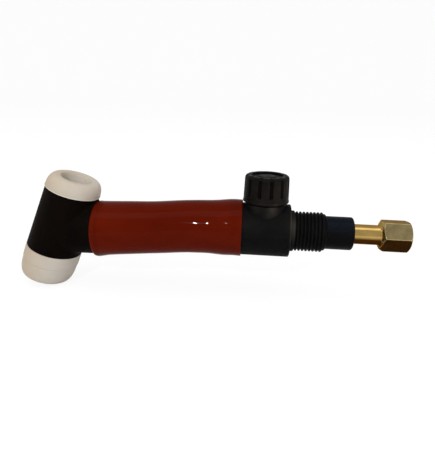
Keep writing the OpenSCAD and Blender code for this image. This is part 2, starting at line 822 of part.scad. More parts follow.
head_core();
head_insulator();
upper_gasket();
lower_gasket();
neck_tube();
neck_insulation();
neck_sleeve();
valve_housing();
valve_block();
gland_nut();
packing_washer();
stem_seal();
valve_stem();
valve_knob();
knob_insert();
knob_washer();
knob_screw();
knob_cap();
rear_tube();
rear_bush();
rear_sleeve();
cable_connector();
braze_fillets();
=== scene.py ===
import math

import bmesh
import bpy
import numpy as np
from mathutils import Matrix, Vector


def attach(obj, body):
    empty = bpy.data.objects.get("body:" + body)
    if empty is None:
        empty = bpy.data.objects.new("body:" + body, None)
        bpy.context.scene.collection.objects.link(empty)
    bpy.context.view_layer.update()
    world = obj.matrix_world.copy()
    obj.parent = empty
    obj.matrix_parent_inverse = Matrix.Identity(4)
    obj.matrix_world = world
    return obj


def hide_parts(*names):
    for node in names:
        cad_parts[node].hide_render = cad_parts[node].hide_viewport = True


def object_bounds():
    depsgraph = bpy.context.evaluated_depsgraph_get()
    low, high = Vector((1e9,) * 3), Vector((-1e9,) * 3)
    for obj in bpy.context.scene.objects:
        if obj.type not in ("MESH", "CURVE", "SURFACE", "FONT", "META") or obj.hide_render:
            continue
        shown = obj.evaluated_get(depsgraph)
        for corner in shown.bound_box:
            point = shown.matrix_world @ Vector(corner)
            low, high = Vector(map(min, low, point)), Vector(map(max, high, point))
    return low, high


# The looks of the TIG torch body, around the nodes of its CAD frame: x runs towards the cable
# connector, z up through the valve's knob, and the handle thread's middle is the origin.

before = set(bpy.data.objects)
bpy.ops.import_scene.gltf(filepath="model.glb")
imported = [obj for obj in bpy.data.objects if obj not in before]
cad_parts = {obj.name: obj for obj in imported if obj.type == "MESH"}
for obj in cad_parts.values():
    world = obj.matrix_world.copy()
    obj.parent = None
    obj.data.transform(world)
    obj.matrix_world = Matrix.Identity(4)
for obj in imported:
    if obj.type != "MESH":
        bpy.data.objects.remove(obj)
cad_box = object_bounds()

MM = 0.001
TAU = 2 * math.pi
# The stored value at each point: how clean the gaskets are, and painted light and shade elsewhere.
WEAR_AND_LIGHT = "wear_and_painted_light"


# ---------------------------------------------------------------- sizes, in millimetres
BEND_X = -45.455
NECK_LEN = 71.8
DROOP = math.radians(3.9)

HEAD_ANGLE = math.radians(64.5)
HEAD_R = 12.25
HEAD_TOP = 20.65
HEAD_FOOT = -9.85
HEAD_EDGE = 0.3
HEAD_SHIFT = 0.54
HEAD_LEAN = math.radians(21.4)
RING_LEAN = math.radians(17.55)
TOP_R = 12.18
FOOT_R = 12.72
CORE_TOP = 21.65
CORE_FOOT = -12.85
CORE_R = 8.05
CORE_CLEAR = 0.05
STUB_R = 12.0
STUB_END_R = 11.65
STUB_TAPER = 20.0
STUB_LEN = 26.0
STUB_BORE = 4.05
GASKET_BORE = 6.85
HEAD_PITCH = 1.25

HOUSING_R = 12.0
HOUSING_X0 = -38.505
HOUSING_BORE = 6.55
SHOULDER_X = -8.605
VALVE_X = -20.005
BOSS_R = 8.95
BOSS_SPREAD = 0.30
BOSS_TOP = 12.8
BOSS_FILLET = 0.22
BOSS_BORE = 6.05
BLOCK_X = -9.505
THREAD_R = 9.0
THREAD_DEPTH = 0.8
PITCH = 1.58
CRESTS = 8
CREST_W = 0.45
THREAD_GAP = PITCH - CREST_W
THREAD_HALF = (CRESTS - 1) * PITCH / 2 + CREST_W / 2
COLLAR_R = 9.3
NOSE_R = 8.3
NOSE_X = 7.405

KNOB_FOOT = 13.4
KNOB_TOP = 25.4
KNOB_R = 10.1
KNOB_EDGE = 1.3
KNOB_DRAFT = math.tan(math.radians(1.8))
SKIRT_TOP = KNOB_FOOT + 0.8
RIM_R = KNOB_R - (KNOB_TOP - SKIRT_TOP) * KNOB_DRAFT - KNOB_EDGE
RECESS_Z = KNOB_TOP - 0.9
CAVITY_TOP = 21.0
BUTTON_R = 3.95
FLUTES = 12
FLUTE_FIRST = math.radians(-79.5)
FLUTE_DEPTH = 0.72
FLUTE_HALF = 4.7
FLUTE_RISE = 2.1

REAR_SLEEVE_R = 7.5
REAR_SLEEVE_X = 19.45
REAR_BORE = 5.9
TUBE_R = 4.5
TUBE_BORE = 3.2
TUBE_X0 = -14.505
TUBE_X1 = 36.005

HEX_X = 32.005
HEX_LEN = 12.65
HEX_AF = 13.0
HEX_CORNER = HEX_AF / math.sqrt(3)
HEX_TURN = math.radians(25.7)
HEX_CHAMFER = 1.53
HEX_SLOPE = 1.7
HEX_CLEAR = 0.5
HEX_CROWN = 2.9
CABLE_R = 4.45
CABLE_ROOT_R = 4.75
CABLE_PITCH = 1.05

# numbers of columns round a piece
HEAD_COLUMNS = 160
SLEEVE_COLUMNS = 160
HOUSING_COLUMNS = 180
JACKET_COLUMNS = 144
TUBE_COLUMNS = 96
SWEEP_COLUMNS = 96


# ---------------------------------------------------------------- axes of the pieces
class Axes:
    """An origin and three unit axes, in millimetres: e3 runs along the piece."""

    def __init__(self, origin, e1, e2, e3):
        self.o = np.array(origin, float)
        self.e1, self.e2, self.e3 = (np.array(e, float) for e in (e1, e2, e3))

    def at(self, r, theta, a):
        return self.o + r * math.cos(theta) * self.e1 + r * math.sin(theta) * self.e2 + a * self.e3

    def skewed(self, point):
        """The point in these axes, which needn't be at right angles."""
        return np.linalg.solve(np.array([self.e1, self.e2, self.e3]).T, point - self.o)


def unit(v):
    return v / np.linalg.norm(v)


def leaning(origin, across_lean, along_lean):
    """Axes in the plane of the torch, leaning from upright by these angles."""
    return Axes(origin, (math.cos(across_lean), 0, -math.sin(across_lean)), (0, 1, 0),
                (math.sin(along_lean), 0, math.cos(along_lean)))


CORE_LEAN = math.pi / 2 - HEAD_ANGLE - DROOP
NECK_END = (BEND_X - NECK_LEN * math.cos(DROOP), 0.0, -NECK_LEN * math.sin(DROOP))
SKIN_ORIGIN = (NECK_END[0] + HEAD_SHIFT, 0.0, NECK_END[2])
CORE = leaning(NECK_END, CORE_LEAN, CORE_LEAN)
HEAD = leaning(SKIN_ORIGIN, HEAD_LEAN, HEAD_LEAN)
RINGS = leaning(SKIN_ORIGIN, RING_LEAN, HEAD_LEAN)
NECK = Axes(NECK_END, (-math.sin(DROOP), 0, math.cos(DROOP)), (0, -1, 0),
            (math.cos(DROOP), 0, math.sin(DROOP)))
BODY = Axes((0, 0, 0), (0, 0, 1), (0, -1, 0), (1, 0, 0))
VALVE = Axes((VALVE_X, 0, 0), (1, 0, 0), (0, 1, 0), (0, 0, 1))


# ---------------------------------------------------------------- mesh building
class Shell:
    """Vertices in millimetres and faces, built ring by ring."""

    def __init__(self):
        self.verts = []
        self.faces = []

    def ring(self, points):
        first = len(self.verts)
        self.verts.extend(np.asarray(p, float) for p in points)
        return list(range(first, len(self.verts)))

    def bridge(self, a, b):
        n = len(a)
        for k in range(n):
            m = (k + 1) % n
            self.faces.append((a[k], a[m], b[m], b[k]))

    def fan(self, ring, point):
        tip = self.ring([point])[0]
        n = len(ring)
        for k in range(n):
            self.faces.append((ring[k], ring[(k + 1) % n], tip))

    def rings(self, rows, closed_loop=False):
        ids = [self.ring(row) for row in rows]
        for a, b in zip(ids, ids[1:]):
            self.bridge(a, b)
        if closed_loop:
            self.bridge(ids[-1], ids[0])
        return ids


def build(name, shell, material, body, replaces, sharp=40.0):
    """Turns a shell into an object that rides on a body and replaces CAD nodes."""
    mesh = bpy.data.meshes.new(name)
    mesh.from_pydata([tuple(v * MM) for v in shell.verts], [], shell.faces)
    bm = bmesh.new()
    bm.from_mesh(mesh)
    bmesh.ops.remove_doubles(bm, verts=bm.verts, dist=1e-7)
    bmesh.ops.recalc_face_normals(bm, faces=bm.faces)
    bm.to_mesh(mesh)
    bm.free()
    mesh.shade_smooth()
    mesh.set_sharp_from_angle(angle=math.radians(sharp))
    mesh.materials.append(material)
    piece = bpy.data.objects.new(name, mesh)
    bpy.context.scene.collection.objects.link(piece)
    weighted = piece.modifiers.new("weighted_normals", "WEIGHTED_NORMAL")
    weighted.keep_sharp = True
    weighted.weight = 50
    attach(piece, body)
    if replaces:
        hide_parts(*replaces)
    return piece


def store_wear_and_light(piece, amount):
    """Stores a value of 0 to 1 at each point: how clean a gasket is, and painted light and shade on
    the other pieces. amount takes its place in millimetres.
    """
    layer = piece.data.attributes.new(WEAR_AND_LIGHT, "FLOAT", "POINT")
    for k, vert in enumerate(piece.data.vertices):
        layer.data[k].value = max(0.0, min(1.0, amount(np.array(vert.co) / MM)))


def bell(x, middle, width):
    """1 at the middle, falling to 0 over about twice the width on either side."""
    return math.exp(-((x - middle) / width) ** 2)


def angle_between(v0, v1, size=1.0):
    """The angle between two vectors, where size is the product of their lengths."""
    return math.acos(max(-1.0, min(1.0, float(v0 @ v1) / size)))


def swing(v0, v1, span, steps):
    """Vectors on the way from v0 to v1, which are the angle span apart: steps go from 0 to 1."""
    return [(math.sin((1 - s) * span) * v0 + math.sin(s * span) * v1) / math.sin(span) for s in steps]


def rounded(points, closed=True, seg=4):
    """A path of (r, a, fillet) points with its corners rounded."""
    out = []
    n = len(points)
    for i, (x, y, f) in enumerate(points):
        if f <= 0 or (not closed and i in (0, n - 1)):
            out.append((x, y))
            continue
        p = np.array([x, y], float)
        to_a = np.array(points[i - 1][:2], float) - p
        to_b = np.array(points[(i + 1) % n][:2], float) - p
        la, lb = np.linalg.norm(to_a), np.linalg.norm(to_b)
        da, db = to_a / la, to_b / lb
        half = angle_between(da, db) / 2
        t = min(f / math.tan(half), 0.48 * la, 0.48 * lb)
        radius = t * math.tan(half)
        centre = p + unit(da + db) * radius / math.sin(half)
        v0, v1 = p + da * t - centre, p + db * t - centre
        span = angle_between(v0, v1, radius ** 2)
        out += [tuple(centre + v) for v in swing(v0, v1, span, [k / seg for k in range(seg + 1)])]
    return out


def arc(centre, a, b, t0, t1, seg):
    """Points on an ellipse, from angle t0 to t1 in degrees."""
    ts = np.radians(np.linspace(t0, t1, seg + 1))
    return [(centre[0] + a * math.cos(t), centre[1] + b * math.sin(t)) for t in ts]


def full_arc(centre, a, b, seg, fullness=0.84):
    """A quarter of an oval, rounder than an ellipse, from its side to its end."""
    ts = np.radians(np.linspace(2, 90, seg + 1))
    return [(centre[0] + a * math.cos(t) ** fullness, centre[1] + b * math.sin(t) ** fullness)
            for t in ts]


def divided(path, step, along=1, closed=True):
    """The path with its long runs cut into steps, measured by one of its two coordinates."""
    out = []
    for p, q in zip(path, path[1:] + (path[:1] if closed else [])):
        k = max(1, int(abs(q[along] - p[along]) / step))
        out += [tuple(a + (b - a) * i / k for a, b in zip(p, q)) for i in range(k)]
    return out if closed else out + [path[-1]]


def angles(n):
    return [TAU * k / n for k in range(n)]


def lathe(axes, path, columns):
    """A closed path of (r, a) points turned about the axes' third one."""
    shell = Shell()
    shell.rings([[axes.at(r, t, a) for t in angles(columns)] for r, a in path], closed_loop=True)
    return shell


# ---------------------------------------------------------------- a body with a branch
BLEND_ROWS = 7
FILLET_ROWS = 6


def nearest_turn(angle, other):
    """The angle, moved by whole turns to lie closest to the other."""
    while angle - other > math.pi:
        angle -= TAU
    while other - angle > math.pi:
        angle += TAU
    return angle


def fillet_centre(main, radius, branch, side, r, rho):
    """Centre of the ball of radius rho that touches the body, and the branch on one side, and
    its height along the branch."""
    q = branch.o + (r + rho) * side - main.o
    q = q - (q @ main.e3) * main.e3
    w = branch.e3 - (branch.e3 @ main.e3) * main.e3
    a, b = w @ w, q @ w
    c = q @ q - (radius + rho) ** 2
    s = (-b + math.sqrt(max(b * b - a * c, 0.0))) / a
    return branch.o + (r + rho) * side + s * branch.e3, s


def branch_column(main, radius, branch, edge, root, fillet, tail):
    """Points from the patch's edge over the body and the fillet to the end of the branch. The
    edge is a point with its height and angle on the body."""
    point, u, t = edge
    d = point - branch.o
    phi = math.atan2(d @ branch.e2, d @ branch.e1)
    r, rho = root(phi), fillet(phi)
    side = math.cos(phi) * branch.e1 + math.sin(phi) * branch.e2
    centre, s = fillet_centre(main, radius, branch, side, r, rho)
    q = centre - main.o
    uc = q @ main.e3
    tc = nearest_turn(math.atan2(q @ main.e2, q @ main.e1), t)
    column = []
    for k in range(1, BLEND_ROWS + 1):
        f = k / BLEND_ROWS
        f = f * (1.35 - 0.35 * f)
        column.append(main.at(radius, t + (tc - t) * f, u + (uc - u) * f))
    rim = centre - rho * side
    v0, v1 = (column[-1] - centre) / rho, (rim - centre) / rho
    steps = [k / FILLET_ROWS for k in range(1, FILLET_ROWS + 1)]
    column += [centre + rho * v for v in swing(v0, v1, angle_between(v0, v1), steps)]
    start = max(s, 0.0)
    for tr, ts in tail:
        outside = tr > 0.9 * r
        column.append(branch.o + tr * side + (max(ts, start) if outside else ts) * branch.e3)
    return column


def branched(main, path, first, count, columns, half_width, branch, root, fillet, tail):
    """A turned body about main with a branch about another axis. The patch that opens into the
    branch takes count of the path's rings from the first on, and half_width columns on either
    side of the middle. root(phi) is the branch's radius where it leaves the body, fillet(phi)
    the radius of the fillet there, and tail the branch's own path of (r, s) points."""
    shell = Shell()
    radius = path[first][0]
    thetas = [t - math.pi for t in angles(columns)]
    i0, i1 = first, first + count - 1
    j0, j1 = columns // 2 - half_width, columns // 2 + half_width
    ids = [shell.ring([main.at(r, t, a) for t in thetas]) for r, a in path]
    for i in range(len(ids)):
        after = (i + 1) % len(ids)
        for j in range(columns):
            if not (i0 <= i < i1 and j0 <= j < j1):
                k = (j + 1) % columns
                shell.faces.append((ids[i][j], ids[i][k], ids[after][k], ids[after][j]))
    loop = [(i, j0) for i in range(i0, i1)] + [(i1, j) for j in range(j0, j1)]
    loop += [(i, j1) for i in range(i1, i0, -1)] + [(i0, j) for j in range(j1, j0, -1)]
    cols = [branch_column(main, radius, branch, (shell.verts[ids[i][j]], path[i][1], thetas[j]),
                          root, fillet, tail) for i, j in loop]
    rows = shell.rings([[col[k] for col in cols] for k in range(len(cols[0]))])
    shell.bridge([ids[i][j] for i, j in loop], rows[0])
    shell.fan(rows[-1], branch.o + tail[-1][1] * branch.e3)
    return shell


# ---------------------------------------------------------------- shader nodes
def node_of(tree, kind, **values):
    node = tree.nodes.new(kind)
    for key, value in values.items():
        setattr(node, key, value)
    return node


def noise(tree, coords, scale, detail, rough, stretch=None):
    source = coords
    if stretch:
        mapping = node_of(tree, "ShaderNodeMapping")
        mapping.inputs["Scale"].default_value = stretch
        tree.links.new(coords, mapping.inputs["Vector"])
        source = mapping.outputs["Vector"]
    tex = node_of(tree, "ShaderNodeTexNoise")
    tex.inputs["Scale"].default_value = scale
    tex.inputs["Detail"].default_value = detail
    tex.inputs["Roughness"].default_value = rough
    tree.links.new(source, tex.inputs["Vector"])
    return tex.outputs["Fac"]


def ramp(tree, value, stops):
    node = node_of(tree, "ShaderNodeValToRGB")
    for element, (pos, col) in zip(node.color_ramp.elements, stops):
        element.position = pos
        element.color = (*col, 1.0)
    tree.links.new(value, node.inputs["Fac"])
    return node.outputs["Color"]


def spread(tree, value, low, high, low_in=0.3, high_in=0.7):
    """Takes a value that runs from low_in to high_in to one that runs from low to high."""
    node = node_of(tree, "ShaderNodeMapRange")
    for key, number in zip(("From Min", "From Max", "To Min", "To Max"),
                           (low_in, high_in, low, high)):
        node.inputs[key].default_value = number
    tree.links.new(value, node.inputs["Value"])
    return node.outputs["Result"]


def bump(tree, value, strength, depth, normal=None):
    node = node_of(tree, "ShaderNodeBump")
    node.inputs["Strength"].default_value = strength
    node.inputs["Distance"].default_value = depth
    tree.links.new(value, node.inputs["Height"])
    if normal is not None:
        tree.links.new(normal, node.inputs["Normal"])
    return node.outputs["Normal"]


def tinted(tree, colour, tint, amount):
    mix = node_of(tree, "ShaderNodeMix", data_type="RGBA", blend_type="MULTIPLY")
    factor, first, second = (next(i for i in mix.inputs if i.identifier == key)
                             for key in ("Factor_Float", "A_Color", "B_Color"))
    tree.links.new(amount, factor)
    tree.links.new(colour, first)
    second.default_value = (*tint, 1.0)
    return next(o for o in mix.outputs if o.identifier == "Result_Color")


def painted_shade_below(tree, colour, tint):
    """Painted shade: the colour with the tint on the faces that look down."""
    split = node_of(tree, "ShaderNodeSeparateXYZ")
    tree.links.new(node_of(tree, "ShaderNodeNewGeometry").outputs["Normal"], split.inputs[0])
    return tinted(tree, colour, tint, spread(tree, split.outputs["Z"], 1.0, 0.0, -0.25, 0.03))


def tint_by_wear_and_light(tree, colour, tint):
    """The colour with the tint where the stored value is 0. On the gaskets the tint is a grease
    stain;
    on the other pieces the stored value paints light and shade over it.
    """
    stored = node_of(tree, "ShaderNodeAttribute", attribute_name=WEAR_AND_LIGHT).outputs["Fac"]
    return tinted(tree, colour, tint, spread(tree, stored, 1.0, 0.0, 0.0, 1.0))


def surface(tree, coords, stretch, grain, grain_depth, dent, dent_scale):
    """The normal of a surface with fine grain and, if dent isn't 0, soft dents."""
    normal = bump(tree, noise(tree, coords, grain, 2.0, 0.5, stretch), 0.6, grain_depth)
    if dent:
        normal = bump(tree, noise(tree, coords, dent_scale, 2.0, 0.4), 1.0, dent, normal)
    return normal


def material(name, dark, light, rough, stops=(0.30, 0.70), spec=0.5, metal=0.0, tone=120.0,
             stretch=None, grain=1500.0, grain_depth=0.00002, dent=0.0, dent_scale=250.0,
             under=None, stain_and_shade_tint=None, edge=None):
    """A finish mottled from dark to light, with uneven gloss and fine grain. The tint for faces that
    look down is painted shade, the tint for a stored value of 0 is a grease stain on the gaskets and
    the colour under painted light and shade on the other pieces, and edge is a metal's tint at its
    edges."""
    mat = bpy.data.materials.new(name)
    mat.use_nodes = True
    tree = mat.node_tree
    shader = next(n for n in tree.nodes if n.type == "BSDF_PRINCIPLED")
    coords = node_of(tree, "ShaderNodeTexCoord").outputs["Object"]
    shader.inputs["Metallic"].default_value = metal
    shader.inputs["Specular IOR Level"].default_value = spec
    if edge:
        shader.inputs["Specular Tint"].default_value = (*edge, 1.0)
    mottle = noise(tree, coords, tone, 4.0, 0.55, stretch)
    colour = ramp(tree, mottle, zip(stops, (dark, light)))
    if under:
        colour = painted_shade_below(tree, colour, under)
    if stain_and_shade_tint:
        colour = tint_by_wear_and_light(tree, colour, stain_and_shade_tint)
    tree.links.new(colour, shader.inputs["Base Color"])
    patches = noise(tree, coords, tone * 1.7, 3.0, 0.6, stretch)
    tree.links.new(spread(tree, patches, *rough), shader.inputs["Roughness"])
    normal = surface(tree, coords, stretch, grain, grain_depth, dent, dent_scale)
    tree.links.new(normal, shader.inputs["Normal"])
    return mat


# ---------------------------------------------------------------- materials
# Painted reflection: the head keeps this browner colour away from the neck; the tint below greys and
# darkens the neck side.
BLACK_HEAD = material(
    "head_black", (0.0013, 0.0009, 0.0008), (0.0054, 0.0028, 0.0014), (0.50, 0.64), spec=0.02,
    tone=90, stretch=(1.0, 1.0, 0.5), dent=0.00006, stain_and_shade_tint=(0.80, 0.84, 0.88))
# Painted highlights: the stored value lifts the housing from the near-black of the tint below to this
# colour.
BLACK_HOUSING = material(
    "housing_black", (0.0270, 0.0240, 0.0210), (0.0520, 0.0455, 0.0390), (0.46, 0.60), spec=0.035,
    tone=160, dent=0.00004, stain_and_shade_tint=(0.066, 0.074, 0.088))
# Painted light and shade: the stored value sets the knob between this colour and the darker tint
# below.
BLACK_KNOB = material(
    "knob_black", (0.0150, 0.0122, 0.0102), (0.0340, 0.0275, 0.0230), (0.34, 0.46), spec=0.03,
    tone=200, stain_and_shade_tint=(0.085, 0.088, 0.096))
# Painted sheen: this bluer colour stays along the upper side; the tint below darkens the rest.
BLACK_SLEEVE = material(
    "rear_sleeve_black", (0.0030, 0.0046, 0.0086), (0.0056, 0.0080, 0.0130), (0.28, 0.40),
    spec=0.03, tone=200, stretch=(0.4, 1.0, 1.0), dent=0.00005, dent_scale=420,
    stain_and_shade_tint=(0.70, 0.46, 0.28))
WHITE_PTFE = material(
    "gasket_white", (0.535, 0.472, 0.392), (0.580, 0.540, 0.484), (0.36, 0.52),
    stops=(0.34, 0.64), spec=0.14, tone=45, dent=0.00008, dent_scale=160,
    stain_and_shade_tint=(0.90, 0.77, 0.60))
# A lighter copy of the gasket's white: painted highlight on the upper ring's lip, painted light
# inside its bore.
PTFE_PAINTED_LIGHT = material(
    "gasket_painted_light", (0.66, 0.61, 0.53), (0.71, 0.67, 0.60), (0.30, 0.40), spec=0.3, tone=200)
# Painted shade: the tint below darkens the sleeve in its crease at the head, and in a band where it
# grips the housing.
RED_SILICONE = material(
    "sleeve_red", (0.079, 0.0044, 0.0005), (0.113, 0.0076, 0.0010), (0.02, 0.05), spec=0.027,
    tone=60, stretch=(0.35, 1.0, 1.0), grain=900, grain_depth=0.000005, dent=0.00002,
    dent_scale=120, stain_and_shade_tint=(0.74, 0.66, 0.60))
# Painted shade: the tint for faces that look down darkens the brass underneath.
BRASS = material(
    "brass", (0.38, 0.242, 0.068), (0.54, 0.362, 0.120), (0.10, 0.20), metal=1.0, tone=200,
    stretch=(0.5, 1.0, 1.0), dent=0.000012, dent_scale=400, under=(0.105, 0.058, 0.036),
    edge=(0.62, 0.46, 0.30))
# Painted shade on the faces that look down, and painted highlights where the stored value lifts the
# greyed flats at the ridges, rims and front bevel.
BRASS_HEX = material(
    "connector_brass", (0.50, 0.375, 0.165), (0.74, 0.570, 0.270), (0.20, 0.32), metal=1.0,
    tone=240, dent=0.00003, dent_scale=300, under=(0.095, 0.052, 0.034), edge=(0.62, 0.46, 0.30),
    stain_and_shade_tint=(0.48, 0.49, 0.50))
BRASS_INNER = material(
    "brass_inner", (0.42, 0.24, 0.07), (0.62, 0.42, 0.16), (0.26, 0.40), metal=1.0, tone=300)
COPPER = material(
    "copper", (0.50, 0.20, 0.09), (0.66, 0.30, 0.16), (0.25, 0.40), metal=1.0, tone=300)
STEEL = material(
    "steel", (0.40, 0.40, 0.41), (0.56, 0.56, 0.57), (0.25, 0.40), metal=1.0, tone=400)
RUBBER = material(
    "seal_rubber", (0.010, 0.010, 0.010), (0.018, 0.018, 0.018), (0.5, 0.65), spec=0.3, tone=400)

CAD_FINISH = {
    "head_core": BRASS_INNER, "neck_tube": COPPER, "neck_insulation": BLACK_HEAD,
    "valve_block": BRASS_INNER, "gland_nut": BRASS_INNER, "packing_washer": WHITE_PTFE,
    "stem_seal": RUBBER, "valve_stem": BRASS_INNER, "knob_insert": BRASS_INNER,
    "knob_washer": STEEL, "knob_screw": STEEL, "braze_fillets": BRASS,
}


def finish_cad_nodes():
    """Gives the CAD nodes that show as they are their materials."""
    for node_name, finish in CAD_FINISH.items():
        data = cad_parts[node_name].data
        data.materials.clear()
        data.materials.append(finish)


# ---------------------------------------------------------------- head
def head_radius(z):
    return FOOT_R + (TOP_R - FOOT_R) * (z - HEAD_FOOT) / (HEAD_TOP - HEAD_FOOT)


def settle(vert):
    """Takes a point of the straight head moulding to the slightly skewed, tapered real one, and
    eases off along the stub, to nothing 6.8 mm outside the moulding."""
    local = vert - HEAD.o
    x, y, z = local @ HEAD.e1, local @ HEAD.e2, local @ HEAD.e3
    reach = math.hypot(x, y)
    near = max(0.0, min(1.0, (reach - HEAD_R - 0.3) / 6.5))
    weight = 1 - near * near * (3 - 2 * near)
    grow = head_radius(z) / HEAD_R if reach > CORE_R + 0.01 else 1.0
    goal = RINGS.o + grow * (x * RINGS.e1 + y * RINGS.e2) + z * RINGS.e3
    return vert + weight * (goal - vert)


def head_fillet(phi):
    """Radius of the fillet between head and stub: wide at the sides, small at the top."""
    side = abs(math.sin(phi))
    under = max(0.0, -math.cos(phi))
    over = max(0.0, math.cos(phi))
    return 2.6 * side + 2.0 * under ** 2 + 0.25 * over ** 2


def painted_head_reflection(p):
    """Painted reflection on the head: lighter and browner towards the side away from the neck."""
    return 0.5 - (p - HEAD.o) @ HEAD.e1 / 22


def make_head_moulding():
    corners = rounded([(HEAD_R, HEAD_FOOT, HEAD_EDGE), (HEAD_R, HEAD_TOP, HEAD_EDGE),
                       (CORE_R, HEAD_TOP, 0.0), (CORE_R, HEAD_FOOT, 0.0)])
    foot = [p for p in corners if p[0] > CORE_R + 0.01 and p[1] < 0]
    top = [p for p in corners if p[0] > CORE_R + 0.01 and p[1] > 0]
    inset = 0.31
    levels = [(HEAD_R, float(z)) for z in np.linspace(HEAD_FOOT + inset, HEAD_TOP - inset, 37)]
    path = foot[:-1] + levels + top[1:] + [(CORE_R, HEAD_TOP), (CORE_R, HEAD_FOOT)]
    stub = [(STUB_R, STUB_TAPER - 0.5), (STUB_R, STUB_TAPER), (STUB_END_R, STUB_LEN),
            (STUB_BORE, STUB_LEN)]
    shell = branched(HEAD, path, first=len(foot) - 1, count=len(levels), columns=HEAD_COLUMNS,
                     half_width=49, branch=NECK, root=lambda phi: STUB_R, fillet=head_fillet,
                     tail=stub)
    shell.verts = [settle(v) for v in shell.verts]
    piece = build("head_moulding", shell, BLACK_HEAD, "body", ["head_insulator"])
    store_wear_and_light(piece, painted_head_reflection)


def greased(p):
    """How clean a gasket is: old grease has stained the side away from the neck."""
    return 0.72 + RINGS.skewed(p)[0] / 22


def make_upper_ring():
    lip = [(CORE_R, HEAD_TOP, 0.0), (12.30, HEAD_TOP, 0.05), (12.50, 20.75, 0.1),
           (12.52, 21.02, 0.14), (12.36, 21.18, 0.08)]
    dome = [(r, a, 0.0) for r, a in arc((8.98, 21.40), 3.40, 5.67, 3, 90, 20)]
    bore = [(GASKET_BORE, 27.07, 1.35), (GASKET_BORE, 25.2, 0.0),
            (GASKET_BORE, CORE_TOP + CORE_CLEAR, 0.0), (CORE_R, CORE_TOP + CORE_CLEAR, 0.0)]
    shell = lathe(RINGS, rounded(lip + dome + bore, seg=6), HEAD_COLUMNS)
    piece = build("upper_ring", shell, WHITE_PTFE, "body", ["upper_gasket"])
    store_wear_and_light(piece, greased)
    # Painted highlight on the lip and painted light in the bore: those faces take the lighter copy of
    # the white.
    piece.data.materials.append(PTFE_PAINTED_LIGHT)
    for face in piece.data.polygons:
        x, y, z = RINGS.skewed(np.array(face.center) / MM)
        away = math.hypot(x, y)
        on_lip = z < 21.0 and away > 12.2
        in_bore = z < 26.4 and away < GASKET_BORE + 0.3
        if on_lip or in_bore:
            face.material_index = 1


def make_lower_ring():
    side = [(CORE_R, HEAD_FOOT, 0.0), (12.80, HEAD_FOOT, 0.15), (12.84, -13.5, 0.0),
            (12.80, -16.05, 0.12), (12.58, -16.4, 0.12)]
    dome = [(r, a, 0.0) for r, a in full_arc((9.66, -17.1), 2.92, -8.26, 22)]
    bore = [(7.4, -25.36, 0.5), (GASKET_BORE + 0.3, -24.2, 0.0),
            (GASKET_BORE, CORE_FOOT - CORE_CLEAR, 0.0), (CORE_R, CORE_FOOT - CORE_CLEAR, 0.0)]
    shell = lathe(RINGS, rounded(side + dome + bore), HEAD_COLUMNS)
    piece = build("lower_ring", shell, WHITE_PTFE, "body", ["lower_gasket"])
    store_wear_and_light(piece, greased)


def make_thread_ridge(name, crest_r, root_r, low, high):
    """A screw thread's ridge inside a bore of the head: one helix of triangular section."""
    per_turn = 40
    fade = 12
    length = (high - low - HEAD_PITCH) / HEAD_PITCH * per_turn
    foot_r = root_r + 0.05
    foot, crest = HEAD_PITCH * 0.46, HEAD_PITCH * 0.06
    rows = []
    for k in range(int(length) + 1):
        t = TAU * k / per_turn
        a = low + HEAD_PITCH * (0.5 + k / per_turn)
        ease = min(1.0, k / fade, (length - k) / fade + 0.02)
        tip = root_r + (crest_r - root_r) * ease
        rows.append([CORE.at(foot_r, t, a - foot), CORE.at(tip, t, a - crest),
                     CORE.at(tip, t, a + crest), CORE.at(foot_r, t, a + foot)])
    shell = Shell()
    ids = shell.rings(rows)
    shell.faces += [tuple(ids[0]), tuple(reversed(ids[-1]))]
    build(name, shell, BRASS_INNER, "body", [], sharp=30)


# ---------------------------------------------------------------- red sleeve
# outer and inner outline of the sleeve: places along the body and radii about the neck
SLEEVE_OUT = [(-98.02, 12.72), (-97.7, 12.98), (-97.0, 13.10), (-96.2, 13.06), (-95.4, 12.92),
              (-94.0, 12.86), (-92.0, 12.80), (-90.0, 12.70), (-86.0, 12.58), (-82.0, 12.49),
              (-77.0, 12.36), (-73.0, 12.27), (-68.0, 12.26), (-64.0, 12.26), (-59.0, 12.22),
              (-54.5, 12.20), (-51.0, 12.26), (-48.0, 12.31), (-45.5, 12.33), (-43.0, 12.44),
              (-40.7, 12.68), (-38.8, 12.88), (-37.0, 12.98), (-34.5, 12.99), (-32.5, 12.97),
              (-31.2, 13.0), (-30.5, 12.99), (-30.27, 12.93), (-30.205, 12.82)]
SLEEVE_IN = [(-30.205, 12.2), (-30.4, 12.06), (-38.3, 12.05), (-43.4, 11.27), (-73.0, 11.27),
             (-91.0, 11.72), (-97.0, 12.05), (-97.9, 12.1), (-98.02, 12.2)]


def neck_centre(x):
    """Height of the neck's axis at x, with the bend rounded over a few millimetres and the
    soft sleeve bowed up a little at two places."""
    d = BEND_X - x
    soft = 2.5
    bow = 0.30 * bell(x, -56.0, 9.0) + 0.34 * bell(x, -33.5, 4.5)
    return bow - math.tan(DROOP) * (d + math.sqrt(d * d + soft * soft)) / 2


def smooth_radii(points, passes=6):
    """Evens out the radii but for those of the two rolled ends."""
    xs = [p[0] for p in points]
    rs = np.array([p[1] for p in points])
    keep = [k for k, x in enumerate(xs) if x < -95 or x > -31.3]
    for _ in range(passes):
        mid = rs.copy()
        mid[1:-1] = (rs[:-2] + 2 * rs[1:-1] + rs[2:]) / 4
        mid[keep] = rs[keep]
        rs = mid
    return list(zip(xs, rs))


def sleeve_sag(x, t):
    """How far the soft outside stands off its round: a droop at the head, and slight waves."""
    droop = 0.34 * max(0.0, -math.sin(t)) ** 3 * math.exp(-((x + 95.6) / 2.2) ** 2)
    wave = 0.05 * math.sin(3 * t + x * 0.11) * math.sin((x + 98) * 0.093)
    return droop + wave + 0.03 * math.sin(5 * t - x * 0.23)


